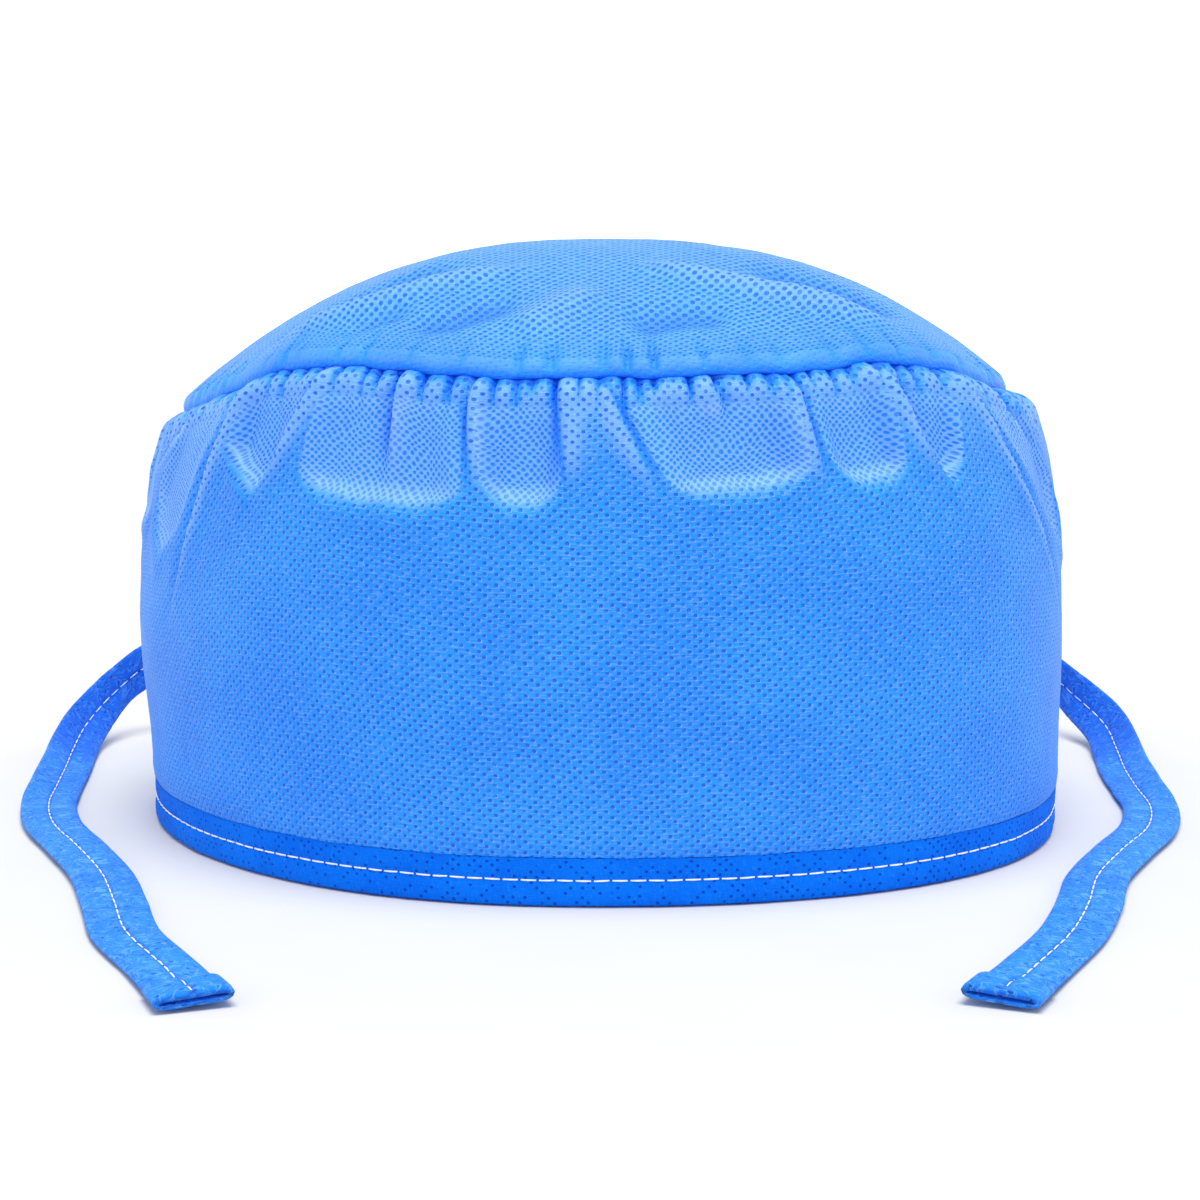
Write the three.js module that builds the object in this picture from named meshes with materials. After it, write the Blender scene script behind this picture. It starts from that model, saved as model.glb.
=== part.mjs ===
// Disposable surgical cap in thin spunbond cloth. A tall side band is gathered into an oval
// crown at the top, bound round its lower edge, and two flat ties leave the back of the binding.
// Millimetres, +Z up, front of the cap towards -Y, standing on its lower edge.
import * as THREE from "three";

const DEG = Math.PI / 180;
const STEPS = 90;            // points round every ring of the cap
const CLOTH = 1.1;           // wall of the band and crown, seam allowance and loft included
const GAP = 0.3;             // clearance between neighbouring pieces

const APEX = 117.7;            // top of the crown
const SEAM_WIDE = 85.4;      // half-width of the crown seam
const SEAM_DEEP = 85.2;      // half-depth of the crown seam
const DOME_POWER = 2.2;      // how flat the crown is over the middle

const HEM_WIDE = 93;         // half-width of the binding
const HEM_DEEP = 95;         // half-depth of the binding
const SWAY = 0.9;            // how far the binding sits to the right of the body's middle

const TIE_WIDTH = 11.4;
const TIE_THICK = 1.6;
const TIE_STEPS = 36;
const TIE_HEM = { length: 9, thick: 2.6, width: 12.2 };

// Height of the crown seam round the cap. turn is 0 at the front and grows to the right.
const SEAM = [
  { turn: -180, z: 85.0 }, { turn: -128, z: 85.0 }, { turn: -108, z: 83.0 },
  { turn: -92, z: 82.0 }, { turn: -78, z: 82.4 }, { turn: -64, z: 84.8 },
  { turn: -50, z: 88.6 }, { turn: -40, z: 91.9 }, { turn: -28, z: 92.4 },
  { turn: -15, z: 90.8 }, { turn: 0, z: 90.6 }, { turn: 15, z: 91.1 },
  { turn: 25, z: 91.8 }, { turn: 35, z: 93.1 }, { turn: 47, z: 91.3 },
  { turn: 56, z: 88.8 }, { turn: 70, z: 86.8 }, { turn: 92, z: 86.0 },
  { turn: 128, z: 85.0 }, { turn: 180, z: 85.0 },
];

// Rows of the side band, for a seam 90 high. follow is how far a row rises with the seam,
// wide and deep are the outer half-sizes, pinch is the share of the gathers that shows.
const BAND = [
  { z: 1.4, follow: 0.0, wide: 91.6, deep: 93.6, pinch: 0.0 },
  { z: 9.3, follow: 0.0, wide: 91.7, deep: 93.7, pinch: 0.0 },
  { z: 10.8, follow: 0.0, wide: 92.5, deep: 94.4, pinch: 0.0 },
  { z: 22, follow: 0.1, wide: 93.1, deep: 95.0, pinch: 0.0 },
  { z: 38, follow: 0.3, wide: 94.0, deep: 95.9, pinch: 0.0 },
  { z: 52, follow: 0.5, wide: 93.6, deep: 95.3, pinch: 0.0 },
  { z: 62, follow: 0.65, wide: 92.9, deep: 94.2, pinch: 0.15 },
  { z: 70, follow: 0.8, wide: 92.2, deep: 93.0, pinch: 0.6 },
  { z: 77, follow: 0.9, wide: 91.3, deep: 91.6, pinch: 1.0 },
  { z: 83, follow: 1.0, wide: 90.4, deep: 89.9, pinch: 1.0 },
  { z: 87.5, follow: 1.0, wide: 88.4, deep: 87.8, pinch: 0.8 },
  { z: 90, follow: 1.0, wide: 85.6, deep: 85.4, pinch: 0.3 },
];

// Main gathers under the seam: where each valley is, its depth and how far it leans as it falls.
const GATHERS = [
  { turn: -57, depth: 3.0, lean: -12 }, { turn: -38, depth: 2.8, lean: -8 },
  { turn: -26, depth: 3.0, lean: 0 }, { turn: -16, depth: 2.4, lean: 0 },
  { turn: -4.5, depth: 2.8, lean: -1 }, { turn: 3, depth: 2.2, lean: 5 },
  { turn: 14, depth: 2.2, lean: 0 }, { turn: 23, depth: 2.6, lean: 2 },
  { turn: 35, depth: 2.8, lean: 5 }, { turn: 47, depth: 3.0, lean: 7 },
  { turn: 62, depth: 2.4, lean: 6 }, { turn: 77, depth: 2.2, lean: 4 },
  { turn: 92, depth: 2.4, lean: 0 }, { turn: 106, depth: 2.2, lean: 2 },
  { turn: 121, depth: 2.6, lean: 0 }, { turn: 136, depth: 2.2, lean: -2 },
  { turn: 151, depth: 2.6, lean: 0 }, { turn: 167, depth: 2.2, lean: 0 },
  { turn: -72, depth: 2.4, lean: -6 }, { turn: -88, depth: 2.4, lean: -2 },
  { turn: -102, depth: 2.2, lean: 0 }, { turn: -117, depth: 2.6, lean: 2 },
  { turn: -132, depth: 2.2, lean: 0 }, { turn: -147, depth: 2.6, lean: 0 },
  { turn: -162, depth: 2.2, lean: 0 }, { turn: -178, depth: 2.4, lean: 0 },
];

// Soft ridges and hollows of the crown: middle, half-length and half-width, heading, height.
const CROWN_FOLDS = [
  { x: -50, y: -34, long: 24, wide: 7, heading: 48, height: 1.6 },
  { x: -34, y: -46, long: 22, wide: 8, heading: 10, height: -1.4 },
  { x: 36, y: -30, long: 26, wide: 7, heading: -34, height: 1.6 },
  { x: 52, y: -20, long: 20, wide: 7, heading: -30, height: -1.6 },
  { x: 2, y: -50, long: 22, wide: 9, heading: 2, height: -1.2 },
  { x: 10, y: 36, long: 34, wide: 10, heading: 12, height: -1.2 },
];

// Section of the binding: a folded strip that holds the band's raw edge in its slot.
// out is measured from the binding's outer half-size, z from the surface it stands on.
const HEM_SECTION = [
  { out: 0.0, z: 9.1 }, { out: 0.15, z: 5.0 }, { out: -0.1, z: 1.0 }, { out: -0.7, z: 0 },
  { out: -3.1, z: 0 }, { out: -3.7, z: 1.0 }, { out: -3.8, z: 9.1 }, { out: -2.8, z: 9.1 },
  { out: -2.8, z: 1.0 }, { out: -1.05, z: 1.0 }, { out: -1.05, z: 9.1 },
];

// Route of each tie from its stitched root to its hemmed end: the stitch line on plan, and
// the heights of the outer edge, the stitch line and the inner edge. Where they lie far apart
// the strap stands on edge, and where they aren't in line it is creased along its stitches.
const TIE_LEFT = [
  { x: -8, y: 96.4, outer: 12.6, middle: 6.9, inner: 1.2 },
  { x: -40, y: 98, outer: 14.8, middle: 9.1, inner: 3.4 },
  { x: -75, y: 99, outer: 18.8, middle: 13.1, inner: 7.4 },
  { x: -98, y: 96.5, outer: 22.2, middle: 16.5, inner: 10.8 },
  { x: -111, y: 89.5, outer: 21.6, middle: 15.9, inner: 10.2 },
  { x: -117.5, y: 80, outer: 16.8, middle: 11.2, inner: 5.8 },
  { x: -122.5, y: 67, outer: 11, middle: 6, inner: 2.6 },
  { x: -122, y: 50, outer: 6.6, middle: 3, inner: 1 },
  { x: -119.5, y: 30, outer: 5, middle: 1.8, inner: 1 },
  { x: -117, y: 10, outer: 3.6, middle: 1.2, inner: 1 },
  { x: -114, y: -10, outer: 1.6, middle: 1.2, inner: 1.2 },
  { x: -108.5, y: -30, outer: 1.2, middle: 1.2, inner: 1.4 },
  { x: -99, y: -52, outer: 1.2, middle: 1.4, inner: 1.4 },
  { x: -89.8, y: -74, outer: 1.2, middle: 1.2, inner: 1.2 },
  { x: -83, y: -96, outer: 1, middle: 1.2, inner: 1.2 },
  { x: -76.8, y: -117, outer: 0.9, middle: 1.2, inner: 1.2 },
  { x: -67, y: -138, outer: 0.9, middle: 1.2, inner: 1.2 },
  { x: -58.7, y: -158, outer: 1.3, middle: 1.6, inner: 2 },
];
const TIE_RIGHT = [
  { x: 8, y: 96.4, outer: 12.6, middle: 6.9, inner: 1.2 },
  { x: 40, y: 98, outer: 14.4, middle: 8.7, inner: 3 },
  { x: 75, y: 99, outer: 17.4, middle: 11.7, inner: 6 },
  { x: 100, y: 96.5, outer: 20.2, middle: 14.5, inner: 8.8 },
  { x: 112, y: 90, outer: 20.4, middle: 14.7, inner: 9 },
  { x: 117.5, y: 80, outer: 16, middle: 10.4, inner: 5.2 },
  { x: 121.8, y: 67, outer: 10.4, middle: 5.6, inner: 2.4 },
  { x: 120.8, y: 49, outer: 6.2, middle: 2.8, inner: 1 },
  { x: 118.2, y: 28, outer: 4.6, middle: 1.6, inner: 1 },
  { x: 116.2, y: 7, outer: 3.4, middle: 1.2, inner: 1 },
  { x: 114.2, y: -14, outer: 1.6, middle: 1.2, inner: 1.2 },
  { x: 109, y: -34, outer: 1.2, middle: 1.2, inner: 1.4 },
  { x: 99.5, y: -55, outer: 1.2, middle: 1.4, inner: 1.4 },
  { x: 90.5, y: -76, outer: 1.2, middle: 1.2, inner: 1.2 },
  { x: 84.2, y: -98, outer: 1, middle: 1.2, inner: 1.2 },
  { x: 77.3, y: -118, outer: 0.9, middle: 1.2, inner: 1.2 },
  { x: 68, y: -138, outer: 0.9, middle: 1.2, inner: 1.2 },
  { x: 59.3, y: -157, outer: 1.3, middle: 1.6, inner: 2 },
];

const mix = (a, b, t) => a + (b - a) * t;
const ease = (t) => t * t * (3 - 2 * t);

// Value of one column of a table at a key that lies between two of its rows.
function between(table, key, column, at) {
  const i = Math.max(1, table.findIndex((row) => row[key] >= at));
  const [low, high] = [table[i - 1], table[i]];
  return mix(low[column], high[column], ease((at - low[key]) / (high[key] - low[key])));
}

// Plan outline: a rounded oval, a little fuller on its right-hand side.
function reach(turn, wide, deep) {
  const power = 2.12 + 0.22 * Math.sin(turn);
  const across = (Math.abs(Math.sin(turn)) / wide) ** power;
  const along = (Math.abs(Math.cos(turn)) / deep) ** power;
  return (across + along) ** (-1 / power);
}

const seamHeight = (turn) => between(SEAM, "turn", "z", turn / DEG);

function place(turn, radius, z) {
  const lean = SWAY * (1 - ease(THREE.MathUtils.clamp((z - 9.4) / 36, 0, 1)));
  return new THREE.Vector3(radius * Math.sin(turn) + lean, -radius * Math.cos(turn), z);
}

function ring(make) {
  return Array.from({ length: STEPS }, (_, i) => make((i / STEPS * 360 - 180 + 2) * DEG));
}

// Closed skin over a list of rings. loop joins the last ring to the first; otherwise each end
// is closed by a fan to its middle.
function skin(rings, loop) {
  const n = rings[0].length;
  const points = rings.flat();
  const faces = [];
  const joins = loop ? rings.length : rings.length - 1;
  for (let k = 0; k < joins; k++) {
    const a = k * n, b = ((k + 1) % rings.length) * n;
    for (let i = 0; i < n; i++) {
      const j = (i + 1) % n;
      faces.push(a + i, a + j, b + j, a + i, b + j, b + i);
    }
  }
  if (!loop) {
    for (const [start, flip] of [[0, true], [(rings.length - 1) * n, false]]) {
      const middle = new THREE.Vector3();
      for (let i = 0; i < n; i++) middle.addScaledVector(points[start + i], 1 / n);
      points.push(middle);
      for (let i = 0; i < n; i++) {
        const j = (i + 1) % n;
        if (flip) faces.push(start + j, start + i, points.length - 1);
        else faces.push(start + i, start + j, points.length - 1);
      }
    }
  }
  const geometry = new THREE.BufferGeometry().setFromPoints(points);
  geometry.setIndex(faces);
  geometry.computeVertexNormals();
  return geometry;
}

// Depth of the gathers at a point of the band; they lean sideways as they fall.
function gatherDepth(turn, pinch) {
  let depth = 0;
  for (const fold of GATHERS) {
    const off = Math.abs(turn / DEG - fold.turn - fold.lean * (1 - pinch));
    depth += fold.depth * Math.exp(-((Math.min(off, 360 - off) / 3.4) ** 2));
  }
  return depth * pinch;
}

function bandRing(row, inset) {
  return ring((turn) => {
    const radius = reach(turn, row.wide - inset, row.deep - inset);
    return place(turn, radius - gatherDepth(turn, row.pinch),
      row.z + row.follow * (seamHeight(turn) - 90));
  });
}

function sideBand() {
  const outside = BAND.map((row) => bandRing(row, 0));
  const inside = BAND.map((row) => bandRing(row, CLOTH)).reverse();
  return skin([...outside, ...inside], true);
}

// Crown: share runs from the middle of the panel (0) to its turned edge (1).
function crownPoint(turn, share, inset) {
  const edge = reach(turn, SEAM_WIDE, SEAM_DEEP);
  const radius = edge * share * (1 - inset / edge);
  const foot = seamHeight(turn) + 3.5;
  const point = place(turn, radius, mix(APEX, foot, share ** DOME_POWER) - inset);
  for (const fold of CROWN_FOLDS) {
    const dx = point.x - fold.x, dy = point.y - fold.y;
    const c = Math.cos(fold.heading * DEG), s = Math.sin(fold.heading * DEG);
    const along = (dx * c + dy * s) / fold.long, side = (dy * c - dx * s) / fold.wide;
    point.z += fold.height * Math.exp(-along * along - side * side) * (1 - share ** 6);
  }
  return point;
}

function crown() {
  const shares = [0.16, 0.34, 0.52, 0.68, 0.82, 0.93, 1];
  const lip = [
    { out: 1.3, up: 2.9 }, { out: 1.8, up: 1.7 }, { out: 1.2, up: 0.6 }, { out: 0.4, up: GAP },
    { out: -2.2, up: GAP }, { out: -2.6, up: 1.6 },
  ];
  const outside = shares.map((s) => ring((turn) => crownPoint(turn, s, 0)));
  const edge = lip.map((p) => ring((turn) =>
    place(turn, reach(turn, SEAM_WIDE + p.out, SEAM_DEEP + p.out), seamHeight(turn) + p.up)));
  const inside = shares.slice(0, -1).reverse().map((s) =>
    ring((turn) => crownPoint(turn, s, CLOTH)));
  return skin([...outside, ...edge, ...inside].reverse(), false);
}

function hemBand() {
  const rings = HEM_SECTION.map((p) =>
    ring((turn) => place(turn, reach(turn, HEM_WIDE + p.out, HEM_DEEP + p.out), p.z)));
  return skin(rings.reverse(), true);
}

// Flat strap along a table of stations, creased along its stitches, with a thicker folded
// hem at its free end. side is -1 for the left tie and 1 for the right one.
function tie(table, side) {
  const line = new THREE.CatmullRomCurve3(table.map((s) =>
    new THREE.Vector3(s.x, s.y, s.middle)), false, "centripetal");
  const lift = new THREE.CatmullRomCurve3(table.map((s) =>
    new THREE.Vector3(s.outer - s.middle, s.inner - s.middle, 0)), false, "catmullrom", 0.3);
  const length = line.getLength();
  const hem = 1 - TIE_HEM.length / length;
  const stops = Array.from({ length: TIE_STEPS + 1 }, (_, i) =>
    ({ u: hem * i / TIE_STEPS, thick: TIE_THICK, width: TIE_WIDTH }));
  stops.push({ u: hem + 0.3 / length, ...TIE_HEM }, { u: 1, ...TIE_HEM });
  const rings = stops.map(({ u, thick, width }) => {
    const t = line.getUtoTmapping(u);
    const middle = line.getPoint(t);
    const along = line.getTangent(t);
    const ahead = along.clone().setZ(0).normalize();
    // Direction across one half of the strap, always pointing away from the cap.
    const across = (lifted, way) => {
      const rise = THREE.MathUtils.clamp(lifted / (TIE_WIDTH / 2), -1, 1);
      const level = Math.sqrt(1 - rise * rise) * side;
      return new THREE.Vector3(-ahead.y * level, ahead.x * level, rise * way);
    };
    const halves = lift.getPoint(t);
    const outer = across(halves.x, 1), inner = across(halves.y, -1);
    const outerFace = new THREE.Vector3().crossVectors(along, outer).normalize();
    const innerFace = new THREE.Vector3().crossVectors(along, inner).normalize();
    const creaseFace = outerFace.clone().add(innerFace).normalize();
    middle.z += (thick - TIE_THICK) / 2;
    const half = width / 2, flat = half - 0.5;
    const section = [[half, 0], [flat, 0.5], [0, 0.5], [-flat, 0.5],
      [-half, 0], [-flat, -0.5], [0, -0.5], [flat, -0.5]];
    return section.map(([w, h]) => {
      const face = w === 0 ? creaseFace : w > 0 ? outerFace : innerFace;
      return middle.clone().addScaledVector(w > 0 ? outer : inner, w)
        .addScaledVector(face, h * thick);
    });
  });
  return skin(rings, false);
}

function piece(name, geometry, color) {
  const material = new THREE.MeshStandardMaterial({ color, roughness: 0.85, metalness: 0 });
  const mesh = new THREE.Mesh(geometry, material);
  mesh.name = name;
  return mesh;
}

const cap = new THREE.Group();
cap.name = "surgical_cap";
cap.add(piece("crown", crown(), 0x4f9cf5));
cap.add(piece("side_band", sideBand(), 0x3f94ff));
cap.add(piece("hem_band", hemBand(), 0x1470f0));
cap.add(piece("tie_left", tie(TIE_LEFT, -1), 0x2f86f2));
cap.add(piece("tie_right", tie(TIE_RIGHT, 1), 0x2f86f2));

export default cap;
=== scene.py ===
"""The looks of a disposable surgical cap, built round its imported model.

Thin blue spunbond cloth: a tall side band gathered into an oval crown, a stitched binding round
the lower edge, and two flat ties that are sewn in at the back and lie forward on the table.
"""
import functools
import math
import random

import bmesh
import bpy
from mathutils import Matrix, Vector, noise


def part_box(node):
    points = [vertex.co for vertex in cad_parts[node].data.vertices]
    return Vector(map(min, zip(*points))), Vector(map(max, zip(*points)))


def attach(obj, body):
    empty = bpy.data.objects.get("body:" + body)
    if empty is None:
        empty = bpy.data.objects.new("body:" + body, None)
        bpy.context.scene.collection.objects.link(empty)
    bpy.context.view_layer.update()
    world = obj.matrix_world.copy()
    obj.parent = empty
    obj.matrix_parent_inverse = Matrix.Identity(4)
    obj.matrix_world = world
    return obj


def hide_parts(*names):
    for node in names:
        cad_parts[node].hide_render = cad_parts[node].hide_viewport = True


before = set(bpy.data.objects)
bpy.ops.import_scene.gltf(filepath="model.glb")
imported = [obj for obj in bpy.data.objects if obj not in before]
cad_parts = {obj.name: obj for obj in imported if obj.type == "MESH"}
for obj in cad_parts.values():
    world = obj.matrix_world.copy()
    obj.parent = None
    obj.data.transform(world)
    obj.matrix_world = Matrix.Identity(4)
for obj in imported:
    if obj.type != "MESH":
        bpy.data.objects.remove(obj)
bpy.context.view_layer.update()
MM = 0.001


# ---- Camera ------------------------------------------------------------------------------
# The cap is looked at from the front, half a metre away and a little from above.

EYE_DISTANCE = 0.5
EYE_DROP = math.radians(6.3)
EYE_AIM = Vector((0.0006, 0.0, 0.0431))
LENS_MM = 71.36
SENSOR_MM = 36

lens = bpy.data.cameras.new("camera")
lens.sensor_width = SENSOR_MM
lens.lens = LENS_MM
camera = bpy.data.objects.new("camera", lens)
camera.location = EYE_AIM + EYE_DISTANCE * Vector((0, -math.cos(EYE_DROP), math.sin(EYE_DROP)))
camera.rotation_euler = (math.pi / 2 - EYE_DROP, 0, 0)
bpy.context.collection.objects.link(camera)
bpy.context.scene.camera = camera


# ---- Ties --------------------------------------------------------------------------------
# Each tie is a strip of the cloth folded flat, with one row of white running stitch along its
# middle. It is sewn to the back of the binding, lies forward round the cap on the table, and
# ends in a narrow turned hem whose two layers gape a little.

TIE_WIDE = 11.4 * MM
TIE_THICK = 1.5 * MM
TIE_HEM_LONG = 9.2 * MM
TIE_HEM_WIDE = 12.2 * MM
TIE_HEM_THICK = 2.4 * MM
TIE_HEM_STEP = 0.6 * MM
SLIT_DEEP = 3.5 * MM
SLIT_WALL = 0.9 * MM
TIE_STITCH_PITCH = 4.0 * MM
TIE_STITCH_LONG = 2.96 * MM
TIE_STITCH_LIFT = 0.13 * MM
TIE_THREAD_RADIUS = 0.15 * MM
TIE_HOLE_SINK = 0.22
TIE_CREASE_SINK = 0.34
TIE_CRUMPLE = 0.16
TIE_ROUTE_STEPS = 1500
TIE_RINGS = 520
TIE_SIDES = 36

# Where the straps kink, in millimetres behind the middle of the cap.
FRONT_KINK = -15
REAR_KINK = 38

# Stitch line on plan, and the heights of the outer edge, the stitch line and the inner edge.
TIE_ROUTES = {
    "left": [
        (-0.008, 0.0964, 0.0126, 0.0069, 0.0012), (-0.040, 0.098, 0.0160, 0.0103, 0.0046),
        (-0.075, 0.099, 0.0216, 0.0159, 0.0102), (-0.098, 0.0965, 0.0246, 0.0189, 0.0132),
        (-0.112, 0.0895, 0.0224, 0.0167, 0.0110), (-0.1185, 0.080, 0.0172, 0.0116, 0.0062),
        (-0.1225, 0.067, 0.0110, 0.0060, 0.0026), (-0.122, 0.050, 0.0066, 0.0030, 0.0010),
        (-0.1195, 0.030, 0.0050, 0.0018, 0.0010), (-0.117, 0.010, 0.0036, 0.0012, 0.0010),
        (-0.114, -0.010, 0.0016, 0.0012, 0.0012), (-0.1085, -0.030, 0.0012, 0.0012, 0.0014),
        (-0.099, -0.052, 0.0012, 0.0014, 0.0014), (-0.0898, -0.074, 0.0012, 0.0012, 0.0012),
        (-0.083, -0.096, 0.0010, 0.0012, 0.0012), (-0.0768, -0.117, 0.0009, 0.0012, 0.0012),
        (-0.067, -0.138, 0.0009, 0.0012, 0.0012), (-0.0587, -0.158, 0.0013, 0.0016, 0.0020),
    ],
    "right": [
        (0.008, 0.0964, 0.0126, 0.0069, 0.0012), (0.040, 0.098, 0.0154, 0.0097, 0.0040),
        (0.075, 0.099, 0.0198, 0.0141, 0.0084), (0.100, 0.0965, 0.0220, 0.0163, 0.0106),
        (0.112, 0.090, 0.0204, 0.0147, 0.0090), (0.1175, 0.080, 0.0160, 0.0104, 0.0052),
        (0.1218, 0.067, 0.0104, 0.0056, 0.0024), (0.1208, 0.049, 0.0062, 0.0028, 0.0010),
        (0.1182, 0.028, 0.0046, 0.0016, 0.0010), (0.1162, 0.007, 0.0034, 0.0012, 0.0010),
        (0.1142, -0.014, 0.0016, 0.0012, 0.0012), (0.109, -0.034, 0.0012, 0.0012, 0.0014),
        (0.0995, -0.055, 0.0012, 0.0014, 0.0014), (0.0905, -0.076, 0.0012, 0.0012, 0.0012),
        (0.0842, -0.098, 0.0010, 0.0012, 0.0012), (0.0773, -0.118, 0.0009, 0.0012, 0.0012),
        (0.068, -0.138, 0.0009, 0.0012, 0.0012), (0.0593, -0.157, 0.0013, 0.0016, 0.0020),
    ],
}


class Amount:
    """An output of a node. Sums written with it add Math nodes, and [name] picks another output."""

    def __init__(self, look, socket):
        self.look = look
        self.socket = socket

    def __getitem__(self, name):
        return Amount(self.look, self.socket.node.outputs[name])

    def __add__(self, other):
        return self.look.maths("ADD", self, other)

    def __radd__(self, other):
        return self.look.maths("ADD", other, self)

    def __sub__(self, other):
        return self.look.maths("SUBTRACT", self, other)

    def __rsub__(self, other):
        return self.look.maths("SUBTRACT", other, self)

    def __mul__(self, other):
        return self.look.maths("MULTIPLY", self, other)

    def __rmul__(self, other):
        return self.look.maths("MULTIPLY", other, self)


class Look:
    """A material built node by node on one Principled shader."""

    def __init__(self, name, **fixed):
        self.material = bpy.data.materials.new(name)
        self.material.use_nodes = True
        self.tree = self.material.node_tree
        self.shader = self.tree.nodes["Principled BSDF"]
        for socket, value in fixed.items():
            self.shader.inputs[socket.replace("_", " ")].default_value = value

    def node(self, kind, settings, inputs, output=0):
        """A node with its settings and the values or links of its sockets."""
        made = self.tree.nodes.new(kind)
        for name, value in settings.items():
            setattr(made, name, value)
        for name, value in inputs.items():
            if isinstance(value, Amount):
                self.tree.links.new(value.socket, made.inputs[name])
            else:
                made.inputs[name].default_value = value
        return Amount(self, made.outputs[output])

    def maths(self, operation, first, second):
        return self.node("ShaderNodeMath", {"operation": operation}, {0: first, 1: second})

    def step(self, value, low, high, below=0.0, above=1.0):
        """Smooth change from one number to another as value goes from low to high."""
        return self.node("ShaderNodeMapRange", {"interpolation_type": "SMOOTHSTEP"}, {
            "Value": value, "From Min": low, "From Max": high, "To Min": below, "To Max": above})

    def mix(self, share, first, second):
        """Blend of two colours, by share of the second."""
        return self.node("ShaderNodeMix", {"data_type": "RGBA"}, {0: share, 6: first, 7: second}, 2)

    def flat(self):
        """Place on the flat cloth in metres."""
        return self.node("ShaderNodeUVMap", {"uv_map": "cloth"}, {})

    def slanted(self, place, turn, along, across):
        """A place turned for a pattern, and pressed together along it and across it."""
        return self.node("ShaderNodeMapping", {}, {
            "Vector": place, "Rotation": (0, 0, turn), "Scale": (along, across, 1)})

    def painted(self, name):
        """A value that the mesh carries at each of its points."""
        return self.node("ShaderNodeAttribute", {"attribute_name": name}, {}, 2)

    def speckle(self, place, size, detail=2.0, rough=0.5):
        """Soft random noise with lumps of a size in metres."""
        return self.node("ShaderNodeTexNoise", {"noise_dimensions": "2D"}, {
            "Vector": place, "Scale": 1 / size, "Detail": detail, "Roughness": rough})

    def feed(self, socket, value):
        self.tree.links.new(value.socket, self.shader.inputs[socket])

    def relief(self, height, depth):
        """Bump from a height of 0 to 1 that stands for a depth in metres."""
        self.feed("Normal", self.node("ShaderNodeBump", {}, {"Distance": depth, "Height": height}))


def drifted(look, place, drift, far):
    """A place pushed about by soft noise, by up to far metres."""
    return look.node("ShaderNodeVectorMath", {"operation": "MULTIPLY_ADD"}, {
        0: drift["Color"], 1: (far, far, 0), 2: place})


def dye(red, green, blue):
    """A cloth colour, from the 0 to 255 values that a screen shows it with."""
    def light(value):
        share = value / 255
        return share / 12.92 if share <= 0.04045 else ((share + 0.055) / 1.055) ** 2.4
    return (light(red), light(green), light(blue), 1.0)


# Spunbond cloth is pressed by a roller with small points on a square lattice that stands on
# its corner, and each point melts a pit. Between the pits the fibres stay loose and pale.
LATTICE = 1.39 * MM
LATTICE_TURN = math.radians(45)
LATTICE_UNEVEN = 0.14
LATTICE_DRIFT = 9 * MM


def pressed_points(look, size, wander, shift=(0, 0)):
    """Pits of the roller, size metres apart: how near a place is to a pit's middle, and a
    random number per pit. wander bends the rows and shift moves the pits, both in metres."""
    flat = look.flat()
    moved = look.node("ShaderNodeVectorMath", {"operation": "SUBTRACT"}, {
        0: drifted(look, flat, look.speckle(flat, LATTICE_DRIFT), wander), 1: (*shift, 0)})
    turned = look.node("ShaderNodeVectorRotate", {}, {"Vector": moved, "Angle": LATTICE_TURN})
    lattice = look.node("ShaderNodeTexVoronoi", {"voronoi_dimensions": "2D"}, {
        "Vector": turned, "Scale": 1 / size, "Randomness": LATTICE_UNEVEN})
    chance = look.node("ShaderNodeSeparateColor", {}, {"Color": lattice["Color"]})["Red"]
    return lattice["Distance"], chance


STRAP_BLUE = dye(16, 124, 242)
STRAP_BLUE_LIGHT = dye(30, 137, 247)
# A painted shade for the grooves.
STRAP_GROOVE_SHADE = dye(0, 88, 216)
# A painted highlight for the tops of the crinkles.
STRAP_CRINKLE_HIGHLIGHT = dye(104, 180, 255)
STRAP_PIT = dye(2, 72, 205)
STRAP_CRINKLE_TALL = 0.9 * MM


def strap_look():
    """Folded strap: few pits, many short crinkles of the fibres, with a painted highlight on their
    tops.
    """
    look = Look("tie_cloth_look", Roughness=0.7, Sheen_Weight=0.1, Sheen_Roughness=0.3,
                Sheen_Tint=(0.7, 0.9, 1.0, 1.0), Specular_IOR_Level=0.22)
    distance, chance = pressed_points(look, 1.6 * MM, 1.8 * MM)
    pit = look.step(distance, 0.22, 0.1) * look.step(chance, 0.72, 0.8)
    flat = look.flat()
    bent = drifted(look, flat, look.speckle(flat, 4 * MM, 1.0), 8 * MM)
    rising = look.speckle(look.slanted(bent, 0.7, 1.0, 2.6), 2.8 * MM, 2.5, 0.6)
    falling = look.speckle(look.slanted(bent, -0.6, 1.0, 2.6), 2.5 * MM, 2.5, 0.6)
    fibre = look.speckle(look.slanted(flat, 0.2, 1.0, 3.0), 0.7 * MM)
    blotch = look.speckle(flat, 14 * MM)
    height = 0.42 * rising + 0.42 * falling + 0.16 * fibre - 0.5 * pit
    body = look.mix(look.step(blotch, 0.3, 0.7), STRAP_BLUE, STRAP_BLUE_LIGHT)
    # The grooves of the stitches and the hem, the slit and the strap behind its kinks are painted
    # darker, a painted shade, and the crinkles' painted highlight hardly shows there.
    groove = look.painted("painted_light")
    body = look.mix(look.step(groove, 0.0, -1.0) * 0.75, body, STRAP_GROOVE_SHADE)
    # The tops of the crinkles are painted paler, a painted highlight.
    crinkle_highlight = look.step(height, 0.48, 0.6) * look.step(groove, -1.3, 0.0, 0.15, 0.6)
    painted_light = look.mix(crinkle_highlight, body, STRAP_CRINKLE_HIGHLIGHT)
    look.feed("Base Color", look.mix(pit * 0.8, painted_light, STRAP_PIT))
    look.relief(height, STRAP_CRINKLE_TALL)
    return look.material


THREAD_WHITE = dye(255, 255, 255)
THREAD_SHADE = dye(226, 234, 250)
THREAD_RIBS_PER_METRE = 2600
THREAD_RIB_TALL = 0.05 * MM


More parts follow.
